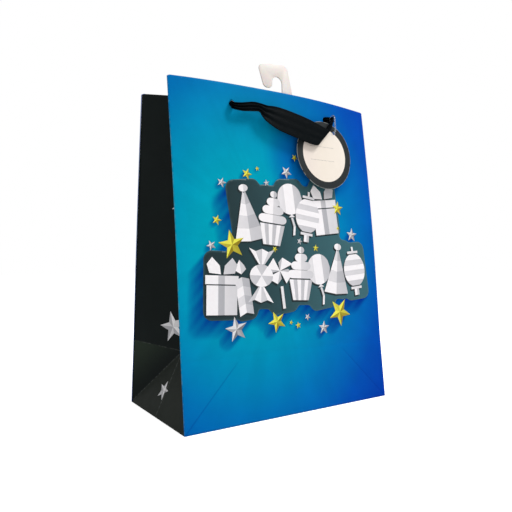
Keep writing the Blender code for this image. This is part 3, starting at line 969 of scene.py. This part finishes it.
def flat_facets(facets, cuts=()):
    """Facets welded into one flat mesh and cut along a square grid, so that it can follow a curved face."""
    bm = bmesh.new()
    layer = bm.loops.layers.uv.new("Ink")
    for points, tone in facets:
        area = sum(x0 * y1 - x1 * y0 for (x0, y0), (x1, y1) in zip(points, points[1:] + points[:1]))
        ordered = points if area > 0 else points[::-1]
        left = min(x for x, _ in ordered)
        width = max(x for x, _ in ordered) - left
        face = bm.faces.new([bm.verts.new((x, y, 0.0)) for x, y in ordered])
        for loop in face.loops:
            loop[layer].uv = (tone, (1 - tone) * (loop.vert.co.x - left) / width)
    planes = list(cuts)
    for axis in (0, 1):
        values = [v.co[axis] for v in bm.verts]
        first = math.ceil(min(values) / INK_STEP)
        last = math.floor(max(values) / INK_STEP)
        normal = tuple(float(k == axis) for k in range(3))
        planes += [(tuple(n * INK_STEP * k for n in normal), normal) for k in range(first, last + 1)]
    for point, normal in planes:
        bmesh.ops.bisect_plane(bm, geom=bm.verts[:] + bm.edges[:] + bm.faces[:], dist=1e-6,
                               plane_co=point, plane_no=normal)
    bmesh.ops.remove_doubles(bm, verts=bm.verts[:], dist=3e-6)
    return bm


def ink_object(name, bm, place, finish, flip=False):
    """A closed film of ink: the flat mesh laid on a surface by place(x, y), with its thickness behind."""
    flat = np.array([v.co[:2] for v in bm.verts])
    for vertex, point in zip(bm.verts, place(flat[:, 0], flat[:, 1])):
        vertex.co = point
    if flip:
        bmesh.ops.reverse_faces(bm, faces=bm.faces[:])
    return thicken(add_bmesh(name, bm, finish), INK_THICK)


def make_plaque(panel, finishes):
    """The dark shape behind the artwork, cut out of a fine grid along the edge of its distance field."""
    xs = np.arange(*PLAQUE_X_RANGE, PLAQUE_STEP)
    ss = np.arange(*PLAQUE_S_RANGE, PLAQUE_STEP)
    distance = plaque_distance(*np.meshgrid(xs, ss))
    bm = bmesh.new()
    for j in range(len(ss) - 1):
        for i in range(len(xs) - 1):
            corners = ((i, j), (i + 1, j), (i + 1, j + 1), (i, j + 1))
            outline = clip_cell([(xs[a], ss[b], distance[b, a]) for a, b in corners])
            if len(outline) > 2:
                bm.faces.new([bm.verts.new((px, ps, 0.0)) for px, ps in outline])
    bmesh.ops.remove_doubles(bm, verts=bm.verts[:], dist=0.05 * MM)
    bm.verts.index_update()
    flat = np.array([v.co[:2] for v in bm.verts])
    faces = [[v.index for v in face.verts] for face in bm.faces]
    bm.free()
    x, s = flat.T
    border = np.clip(1 + plaque_distance(x, s) / PLAQUE_BORDER, 0.0, 1.0)
    obj = add_mesh(f"{panel.side}_plaque", panel.at(x, panel.face(x, s) - PLAQUE_LIFT, s), faces,
                   {"Sheet": flat, "Shade": pairs(border, 0.0)}, [finishes["plaque"]])
    return thicken(obj, INK_THICK)


def clip_cell(cell):
    """The part of a grid cell where the distance is below zero."""
    outline = []
    for (x0, s0, d0), (x1, s1, d1) in zip(cell, cell[1:] + cell[:1]):
        if d0 < 0:
            outline.append((x0, s0))
        if (d0 < 0) != (d1 < 0):
            share = d0 / (d0 - d1)
            outline.append((x0 + (x1 - x0) * share, s0 + (s1 - s0) * share))
    return outline


def make_artwork(panel, finishes):
    """Plaque, folded-paper shapes and stars printed on a wide panel."""
    films = [make_plaque(panel, finishes)]
    shapes = [place_shape(shape(), slot) for shape, slot in zip(SHAPES, UPPER_SLOTS + LOWER_SLOTS)]
    shadows = [([(x - SHADOW_SHIFT, y - SHADOW_SHIFT) for x, y in outline], 0.0)
               for shape in shapes for outline, _ in shape]
    layers = [("shape_shadows", shadows, SHADOW_LIFT, "shadow")]
    for i, lift in enumerate(SHAPE_LIFTS):
        layers.append((f"paper_shapes_{i + 1}", sum(shapes[i::2], []), lift, "white"))
    layers.append(("gold_stars", all_star_facets(GOLD_STARS), STAR_LIFT, "gold"))
    layers.append(("silver_stars", all_star_facets(SILVER_STARS), STAR_LIFT, "silver"))
    for name, facets, lift, finish in layers:
        films.append(ink_object(f"{panel.side}_{name}", flat_facets(facets),
                                lambda x, s: panel.at(x, panel.face(x, s) - lift, s), finishes[finish]))
    for film in films:
        attach(film, panel.body, f"{panel.side}_print")


# ---------------------------------------------------------------- gussets

class Gusset:
    """Half a gusset, from a panel's edge to the centre crease, with its half of the foot triangle."""

    def __init__(self, panel, end):
        self.panel = panel
        self.name = f"{panel.side}_{end}_gusset"
        self.end = end
        self.world_sign = -1 if end == "left" else 1
        self.sign = self.world_sign * panel.turn

    def fold(self, s):
        """Angle of the half from square, at each height, so that its crease lies midway in the bag."""
        reach = (1 - np.maximum(s, HALF) * SIN / HALF) / COS
        return np.arccos(np.clip(reach, -1.0, 1.0))

    def at(self, a, s, inside=0.0):
        """Points of the row frame; inside moves them into the bag."""
        a, s, inside = np.broadcast_arrays(a, s, inside)
        fold = self.fold(s)
        bend = np.clip((a - (HALF - GUSSET_CREASE)) / GUSSET_CREASE, 0.0, 1.0)
        local = np.arctan2(np.sin(fold) * (1 - bend), np.cos(fold))
        rise = np.clip((s - HALF) / (HEIGHT - HALF), 0.0, 1.0)
        bulge = GUSSET_BULGE * np.sin(np.pi * np.clip(a / HALF, 0, 1)) * np.sin(np.pi * rise) ** 2
        away = inside - bulge
        inward = np.sin(fold) * (a - GUSSET_CREASE * bend ** 2 / 2) + away * np.cos(local)
        depth = (a * np.cos(fold) - edge_belly(self.panel.belly, s) * (1 - a / HALF)
                 - away * np.sin(local))
        upper = self.panel.at(self.sign * (WIDTH / 2 - inward), depth, s)
        tilt = self.fold(HALF)
        foot_x = self.sign * (WIDTH / 2 - s * np.sin(tilt) - inside * np.cos(tilt))
        foot = np.stack([self.panel.turn * foot_x, self.panel.turn * (a - HALF),
                         s * np.cos(tilt) - inside * np.sin(tilt)], axis=-1)
        return np.where((a > s)[..., None], foot, upper)

    def blend(self, obj):
        """Bake obj's place into its mesh. The panel's share of the gusset's motion is worked out here but
        not used.
        """
        outwards = np.array([self.world_sign, -self.panel.turn, 1.0])
        growth = outwards * BLEND_GROWTH
        corner = outwards * (WIDTH / 2, HALF, 0.0)
        reach = growth / growth.dot(growth)
        start = corner - BLEND_AT_CORNER * reach
        tuple(start + reach)
        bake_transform(obj)


def gusset_faces(columns, rows, diagonal_rows, flip):
    """Grid faces, with the cells on the diagonal crease split along it."""
    faces = []
    for j in range(rows - 1):
        for i in range(columns - 1):
            a, b = j * columns + i, j * columns + i + 1
            c, d = b + columns, a + columns
            if j == i + 1 and j < diagonal_rows:
                cell = [(a, b, c), (a, c, d)]
            else:
                cell = [(a, b, c, d)]
            faces += [face[::-1] for face in cell] if flip else cell
    return faces


def make_gusset_sheet(gusset, finishes):
    """The printed sheet of half a gusset, folded over the rim and turned in."""
    a = np.concatenate([np.linspace(CORNER + CORNER_RETURN, HALF - GUSSET_CREASE, GUSSET_COLUMNS),
                        np.linspace(HALF - GUSSET_CREASE, HALF, GUSSET_CREASE_COLUMNS)[1:]])
    fold_radius = GUSSET_HEM_GAP / 2
    above = np.linspace(HALF, HEIGHT - fold_radius, GUSSET_ROWS)[1:]
    length, s, inside, share = fold_over_rows(np.concatenate([[0.0], a, above]), fold_radius, HEM)
    a_grid = a + share[:, None] * GUSSET_HEM_INSET * (1 - a / HALF)
    points = gusset.at(a_grid, s[:, None], inside[:, None])
    faces = gusset_faces(len(a), len(s), len(a), gusset.sign < 0)
    obj = add_mesh(f"{gusset.name}_sheet", points, faces, {"Sheet": pairs(a_grid, length[:, None])},
                   [finishes["black"], finishes["raw"]])
    thicken(obj, PAPER, inner_material=1)
    gusset.blend(obj)
    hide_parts(gusset.name, f"{gusset.name}_hem", f"{gusset.end}_gusset_foot")


def make_gusset_stars(gusset, finishes):
    """The part of the gusset's stars that falls on this half."""
    rear = gusset.panel.side == "back"
    facets = []
    for outline, tone in all_star_facets(GUSSET_STARS):
        facets.append(([(DEPTH - x, y) for x, y in outline] if rear else outline, tone))
    limit = HALF - STAR_CREASE_GAP
    bm = flat_facets(facets, cuts=[((limit, 0.0, 0.0), (1.0, 0.0, 0.0)),
                                   ((0.0, 0.0, 0.0), (1.0, -1.0, 0.0))])
    beyond = [face for face in bm.faces if face.calc_center_median().x > limit]
    bmesh.ops.delete(bm, geom=beyond, context='FACES')
    obj = ink_object(f"{gusset.name}_stars", bm, lambda a, s: gusset.at(a, s, -STAR_LIFT),
                     finishes["side silver painted light"], flip=gusset.sign < 0)
    gusset.blend(obj)


# ---------------------------------------------------------------- ribbons

# Ribbon outside a panel, in millimetres from the swing axis: centre (x, depth, s), the way across the
# ribbon from its upper to its lower edge, and the height of its pleats. "mouth" is the depth of the hole.
def handle_stations(mouth):
    return [
        (-43, mouth + 2.6, 0.0, 0, 0, -4.2, 1.5, 0, 0),
        (-43, mouth + 0.5, 0.0, 0, 0, -4.2, 1.7, 0, 0),
        (-43.8, mouth - 1.3, -1.2, 0, 0, -4.8, 1.8, 0, 0),
        (-43.4, 1.0, -3.0, 0.6, 0, -5.2, 1.2, 0.8, 0),
        (-38.9, -0.3, -3.4, 0.4, 0, -6.2, 0, 0.7, 0),
        (-34.5, -0.7, -2.8, 0, 0, -6.8, 0, 0.5, 0),
        (-28.5, -1.0, -1.9, 0, 0, -7.2, 0, 0.5, 0),
        (-23.8, -1.3, -2.0, -1.4, 0, -6.8, 0, 0.6, 0),
        (-19.6, -1.8, -4.4, -4.6, 0, -9.8, 0, 0.6, 0),
        (-14.0, -2.5, -6.4, -6.4, 0, -13.8, 0, 0.25, 0),
        (-5.8, -2.9, -8.9, -5.8, 0, -17.0, 0, 0.10, 0),
        (4.8, -3.0, -11.2, -4.6, 0, -18.2, 0, 0.06, 0),
        (16.3, -3.1, -13.8, -4.0, 0, -18.6, 0, 0.04, 0),
        (25.0, -3.2, -16.0, -5.4, 0, -17.4, 0, 0.05, 0),
        (30.9, -3.2, -17.3, -8.8, 0, -15.0, 0, 0.06, 0),
        (34.6, -2.9, -17.4, -11.6, 0, -12.2, 0, 0.0, 0),
        (37.4, -2.3, -13.6, -11.0, 0, -9.8, 0, -0.2, 0),
        (40.0, -2.2, -8.8, -9.4, 0, -7.6, 0, -0.4, 0),
        (42.6, -2.2, -4.4, -6.4, 0, -5.6, 0, -0.7, 0),
        (45.4, -1.6, -1.0, -2.4, 0, -4.6, 0.2, -0.9, 0),
        (47.6, -0.2, 0.2, 0.2, 0, -4.6, 0.6, -0.6, 0),
        (47.4, 2.0, 0.2, 0.2, 0, -4.6, 1.0, 0.4, 0),
        (44.9, mouth - 1.5, 0.1, 0, 0, -5.2, 1.6, 1.2, 0),
        (43.2, mouth - 0.5, 0.0, 0, 0, -5.0, 2.0, 0.2, 0),
        (43.0, mouth + 0.8, 0.0, 0, 0, -4.2, 1.4, 0, 0),
        (43.0, mouth + 2.6, 0.0, 0, 0, -4.2, 1.4, 0, 0),
    ]


# Ribbon inside the bag, in millimetres from the hole on the inner face, as above.
TAIL_STATIONS = [
    (0, -1.6, 0.0, 4.2, 0, 0, 0, 0, 1.4),
    (0, 0.4, 0.0, 4.2, 0, 0, 0, 0.4, 1.3),
    (0, 2.2, -1.2, 4.6, 0, 0, 0, 1.0, 0.9),
    (0, 2.9, -5.5, 6.5, 0, 0, 0, 1.2, 0),
    (0.4, 2.4, -16, 9.5, 0, 0, 0, 0.8, 0),
    (0.8, 2.4, -38, 11, 0.6, 0, 0, 0.5, 0),
    (0.2, 3.0, -60, 8.5, 0, 0, 0, 0.8, 0),
    (0, 3.8, -68, 4.6, 0, 0, 0, 1.3, 0),
    (0, 4.2, -73, 4.2, 0, 0, 0, 1.4, 0),
    (0, 4.0, -78, 4.6, 0, 0, 0, 1.3, 0),
    (-0.4, 3.2, -85, 9.0, -0.5, 1.0, 0, 0.7, 0),
    (-1.0, 3.2, -97, 13.0, -1.0, 3.0, 0, 0.35, 0),
]


def ribbon_threads(rows):
    """Points of the ribbon's lengthwise threads; each row holds centre, way across and pleat."""
    v = np.linspace(0.0, 1.0, RIBBON_THREADS)
    centre, across, pleat = rows[:, None, 0:3], rows[:, None, 3:6], rows[:, None, 6:9]
    taper = np.sqrt(1 - 0.55 * (2 * v - 1) ** 2)
    ripple = np.sin(2 * np.pi * RIBBON_FOLDS * v + 0.35 * rows[:, :1] / 10) * taper
    return centre + across * (v - 0.5)[None, :, None] + pleat * ripple[:, :, None], v


def make_cloth(name, points, v, finishes):
    """A ribbon from its grid of points, with the distance along it and across it for the weave."""
    length = lengths_along(points[:, RIBBON_THREADS // 2])
    obj = add_mesh(name, points, grid_faces(*points.shape[:2]), {"Cloth": pairs(length[:, None], v)},
                   [finishes["satin"]])
    return thicken(obj, RIBBON_THICK, offset=0.0)


def make_handle(panel, finishes):
    """The ribbon outside a panel: it comes out of one hole, spreads, folds over and goes in at the other."""
    mouth = panel.face(HOLE_X, panel.hole_height) - panel.axis_depth
    threads, v = ribbon_threads(smooth_rows(handle_stations(mouth / MM), HANDLE_STEPS))
    threads = threads * MM
    points = panel.at(threads[..., 0], panel.axis_depth + threads[..., 1],
                      panel.hole_height + threads[..., 2])
    obj = make_cloth(f"{panel.side}_ribbon_handle", points, v, finishes)
    face = panel.at(0.0, panel.axis_depth + mouth, panel.hole_height)
    axis = panel.at(0.0, panel.axis_depth, panel.hole_height)
    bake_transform(obj)
    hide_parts(f"{panel.side}_handle")


def make_tail(panel, end, finishes):
    """A ribbon's inner end: through the hole, down the inside and out of its knot."""
    x = HOLE_X * panel.turn * (-1 if end == "left" else 1)
    threads, v = ribbon_threads(smooth_rows(TAIL_STATIONS, TAIL_STEPS))
    threads = threads * MM
    s = panel.hole_height + threads[..., 2]
    depth = panel.face(x, s) + STACK + threads[..., 1]
    points = panel.at(x + threads[..., 0], depth, s)
    tail = make_cloth(f"{panel.side}_{end}_ribbon_tail", points, v, finishes)
    attach(tail, panel.body, "black_ribbon", f"{panel.side}_{end}_ribbon_end")
    attach(make_knot(panel, end, x, finishes), panel.body, "black_ribbon")


def make_knot(panel, end, x, finishes):
    """The ribbon's turn round itself that stops it at the hole: a plump slanting band, in millimetres."""
    theta, phi = np.meshgrid(round_angles(48), round_angles(24))
    plump = 1 + 0.10 * np.sin(3 * phi + theta) + 0.06 * np.sin(2 * theta + 1.0)
    ring_x = (3.3 + 1.9 * plump * np.cos(phi)) * np.cos(theta)
    ring_depth = (1.7 + 1.5 * plump * np.cos(phi)) * np.sin(theta)
    ring_s = 3.4 * plump * np.sin(phi) + 0.28 * ring_x
    s = panel.hole_height - KNOT_DROP + ring_s * MM
    depth = panel.face(x, s) + STACK + KNOT_DEPTH + ring_depth * MM
    points = panel.at(x + ring_x * MM, depth, s)
    points = np.vstack([points, points[:1]])
    uv = pairs(theta * 4 * MM, phi / (2 * math.pi))
    uv = np.vstack([uv, uv[:1]])
    obj = add_mesh(f"{panel.side}_{end}_ribbon_knot", points, grid_faces(*points.shape[:2], closed=True),
                   {"Cloth": uv}, [finishes["satin"]])
    weld(obj)
    return obj


# ---------------------------------------------------------------- tag, loop and hook

def make_tag(panel, finishes):
    """The round card, a little dished, hung from the hole near its edge."""
    low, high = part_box("gift_tag")
    centre_x = (low.x + high.x) / 2
    centre_s = panel.hole_height + ((low.z + high.z) / 2 - JOINTS["front_handle_swing"]["pos_m"][2]) / COS
    face_rings = np.linspace(0.6 * MM, TAG_RADIUS - 0.3 * MM, 18)
    rings = np.concatenate([face_rings, [TAG_RADIUS - 0.08 * MM, TAG_RADIUS]])
    angles = round_angles(96)
    radius, turn = np.meshgrid(rings, angles, indexing="ij")
    x = radius * np.cos(turn)
    y = radius * np.sin(turn)
    dish = TAG_DISH * (radius / TAG_RADIUS) ** 2 * np.cos(2 * turn + 0.7)
    droop = np.where(radius > TAG_RADIUS - 0.05 * MM, TAG_RIM_DROP, 0.0)
    points = panel.at(centre_x + x, panel.axis_depth - TAG_THICK / 2 + dish + droop, centre_s + y)
    faces = list(grid_faces(len(rings), len(angles), flip=True, closed=True)) + [range(len(angles))]
    obj = add_mesh("tag_disc", points, faces, {"Sheet": pairs(x, y)}, [finishes["tag"]])
    thicken(obj, TAG_THICK)
    punch(obj, JOINTS["tag_sway"]["pos_m"], panel.outwards(), TAG_HOLE_RADIUS)
    attach(obj, "gift_tag", "tag_card", "gift_tag")


def make_tag_loop(finishes):
    """The clear loop round the ribbon and through the tag, as a round cord."""
    low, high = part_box("tag_loop")
    wire = (high.x - low.x) / 2
    radius = (high.y - low.y) / 2 - wire
    right = Vector((1.0, 0.0, 0.0))
    up = Vector((0.0, SIN, COS))
    out = Vector((0.0, COS, -SIN))
    top = Vector(JOINTS["tag_loop_swing"]["pos_m"])
    top.x = (low.x + high.x) / 2
    bottom = Vector(JOINTS["tag_sway"]["pos_m"]) + up * radius
    angles = np.linspace(0.0, math.pi, 17)
    path = [top + out * radius * math.cos(t) + up * radius * math.sin(t) for t in angles]
    path += [bottom - out * radius * math.cos(t) - up * radius * math.sin(t) for t in angles]
    rings = []
    for i, point in enumerate(path):
        tangent = (path[(i + 1) % len(path)] - path[i - 1]).normalized()
        side = right.cross(tangent)
        rings.append([point + wire * (side * math.cos(k) + right * math.sin(k)) for k in round_angles(12)])
    points = np.array(rings + rings[:1])
    obj = add_mesh("tag_cord", points, grid_faces(*points.shape[:2], closed=True), {}, [finishes["nylon"]])
    weld(obj)
    attach(obj, "tag_loop", "clear_nylon", "tag_loop")


def hook_outline():
    """Edge of the hook in millimetres, s measured from the rim: a J leaning a little to the left."""
    stem = [(14.5, -26), (15.5, -24), (15.0, -13), (13.8, -5)]
    shoulder = arc(4.4, 18.4, 5.8, 5.4, 4, 84, 8)
    crown = arc(-11.6, 16.9, 5.3, 5.0, 96, 176, 8)
    tip = arc(-9.8, 6.6, 4.3, 3.5, 190, 350, 10)
    throat = arc(-0.9, 8.2, 4.5, 5.0, 176, 6, 12)
    foot = [(2.8, -5), (-0.6, -13), (-0.4, -24), (0.6, -26)]
    return stem + shoulder + crown + tip + throat + foot


def make_hook(panel, finishes):
    """The flat plastic hook stuck inside the front rim."""
    stuck = panel.face(HOOK_STUCK_X, HEIGHT - HOOK_STUCK_DROP)
    depth = stuck + STACK + HOOK_THICK / 2 + HOOK_GAP
    points = [panel.at(x * MM, depth, HEIGHT + y * MM) for x, y in hook_outline()]
    obj = add_mesh("hang_hook_plate", points, [range(len(points))], {}, [finishes["hook"]])
    thicken(obj, HOOK_THICK, offset=0.0)
    bevel = obj.modifiers.new("Soft edges", 'BEVEL')
    bevel.width = HOOK_BEVEL
    bevel.segments = 3
    bevel.limit_method = 'ANGLE'
    bevel.angle_limit = math.radians(60)
    settle(obj)
    obj.data.set_sharp_from_angle(angle=math.radians(35))
    attach(obj, panel.body, "frosted_plastic", "hang_hook")


# ---------------------------------------------------------------- base, stage and camera

def finish_base(finishes):
    """Materials of the flat base parts, which keep their CAD shapes."""
    names = {"flap": ("bottom_flap_back", "bottom_flap_front", "bottom_tuck_left", "bottom_tuck_right"),
             "card": ("base_board",)}
    for finish in names:
        for name in names[finish]:
            for slot in frame["nodes"][name].material_slots:
                slot.material = finishes[finish]


def make_floor():
    paint = Paint("pale_floor", Roughness=0.9, Specular_IOR_Level=0.0)
    seen = paint.tree.nodes.new("ShaderNodeLightPath").outputs["Is Camera Ray"]
    paint.finish(Base_Color=paint.vary((0.92, 0.92, 0.92, 1.0), paint.noise(3.0), 0.005),
                 Emission_Color=(1.0, 1.0, 1.0, 1.0), Emission_Strength=Signal(paint, seen) * FLOOR_GLOW)
    corners = [(x * FLOOR_REACH, y * FLOOR_REACH, 0.0) for x, y in ((-1, -1), (1, -1), (1, 1), (-1, 1))]
    add_mesh("floor", corners, [range(4)], {}, [paint.material])


def add_light(name, place, size, power):
    """A square lamp that faces the middle of the bag."""
    light = bpy.data.lights.new(name, 'AREA')
    light.size = size
    light.energy = power
    obj = add_object(name, light)
    obj.location = place
    aim = Vector((0.0, 0.0, HEIGHT / 2)) - Vector(place)
    obj.rotation_euler = aim.to_track_quat('-Z', 'Y').to_euler()


def make_stage():
    make_floor()
    world = bpy.data.worlds.new("studio")
    world.use_nodes = True
    tree = world.node_tree
    background = tree.nodes["Background"]
    background.inputs["Color"].default_value = (1.0, 1.0, 1.0, 1.0)
    seen = tree.nodes.new("ShaderNodeLightPath").outputs["Is Camera Ray"]
    strength = tree.nodes.new("ShaderNodeMapRange")
    strength.inputs["To Min"].default_value = AMBIENT
    strength.inputs["To Max"].default_value = 1.0
    tree.links.new(seen, strength.inputs["Value"])
    tree.links.new(strength.outputs["Result"], background.inputs["Strength"])
    bpy.context.scene.world = world
    for light in LIGHTS:
        add_light(*light)
    bpy.context.scene.view_settings.view_transform = 'Standard'


def make_camera():
    """Seen from the left of the front, a little below half the bag's height."""
    camera = bpy.data.cameras.new("camera")
    camera.sensor_width = CAMERA_SENSOR
    camera.lens = CAMERA_LENS
    camera.clip_start = 0.01
    obj = add_object("camera", camera)
    yaw, pitch, roll = (math.radians(angle) for angle in CAMERA_TURN)
    ahead = Vector((math.sin(yaw) * math.cos(pitch), math.cos(yaw) * math.cos(pitch), math.sin(pitch)))
    right = ahead.cross(Vector((0.0, 0.0, 1.0))).normalized()
    up = right.cross(ahead)
    right_rolled = right * math.cos(roll) + up * math.sin(roll)
    up_rolled = up * math.cos(roll) - right * math.sin(roll)
    axes = Matrix((right_rolled, up_rolled, -ahead)).transposed().to_4x4()
    obj.matrix_world = Matrix.Translation(Vector(CAMERA_PLACE)) @ axes
    bpy.context.scene.camera = obj


def build():
    finishes = {
        "blue": blue_print(),
        "black": black_print(),
        "raw": raw_paper(),
        "card": grey_card(),
        "flap": flap_print(),
        "plaque": plaque_ink(),
        "white": ink("white_ink", linear(170, 170, 176), linear(255, 251, 253), 0.4),
        "shadow": ink("shadow_ink", linear(20, 38, 42), linear(20, 38, 42), 0.4),
        "gold": ink("gold_ink", linear(150, 130, 18), linear(253, 248, 86), 0.32),
        "silver": ink("silver_ink", linear(124, 124, 130), linear(240, 238, 240), 0.32),
        # A brighter copy of the silver ink for the gusset stars, which lie in shade: painted light.
        "side silver painted light": ink("gusset_silver_ink_painted_light", linear(176, 176, 180), linear(255, 254, 255), 0.32),
        "satin": satin(),
        "tag": tag_card(),
        "hook": frosted_plastic(),
        "nylon": clear_nylon(),
    }
    for side, turn, belly in (("front", 1, EDGE_BELLY), ("back", -1, EDGE_BELLY / 2)):
        panel = Panel(side, turn, belly)
        make_panel_sheet(panel, finishes)
        make_top_card(panel, finishes)
        make_artwork(panel, finishes)
        make_handle(panel, finishes)
        for end in ("left", "right"):
            gusset = Gusset(panel, end)
            make_gusset_sheet(gusset, finishes)
            make_gusset_stars(gusset, finishes)
            make_tail(panel, end, finishes)
        if side == "front":
            make_tag(panel, finishes)
            make_tag_loop(finishes)
            make_hook(panel, finishes)
        else:
            make_seam_flap(panel, finishes)
    finish_base(finishes)
    make_stage()
    make_camera()


build()
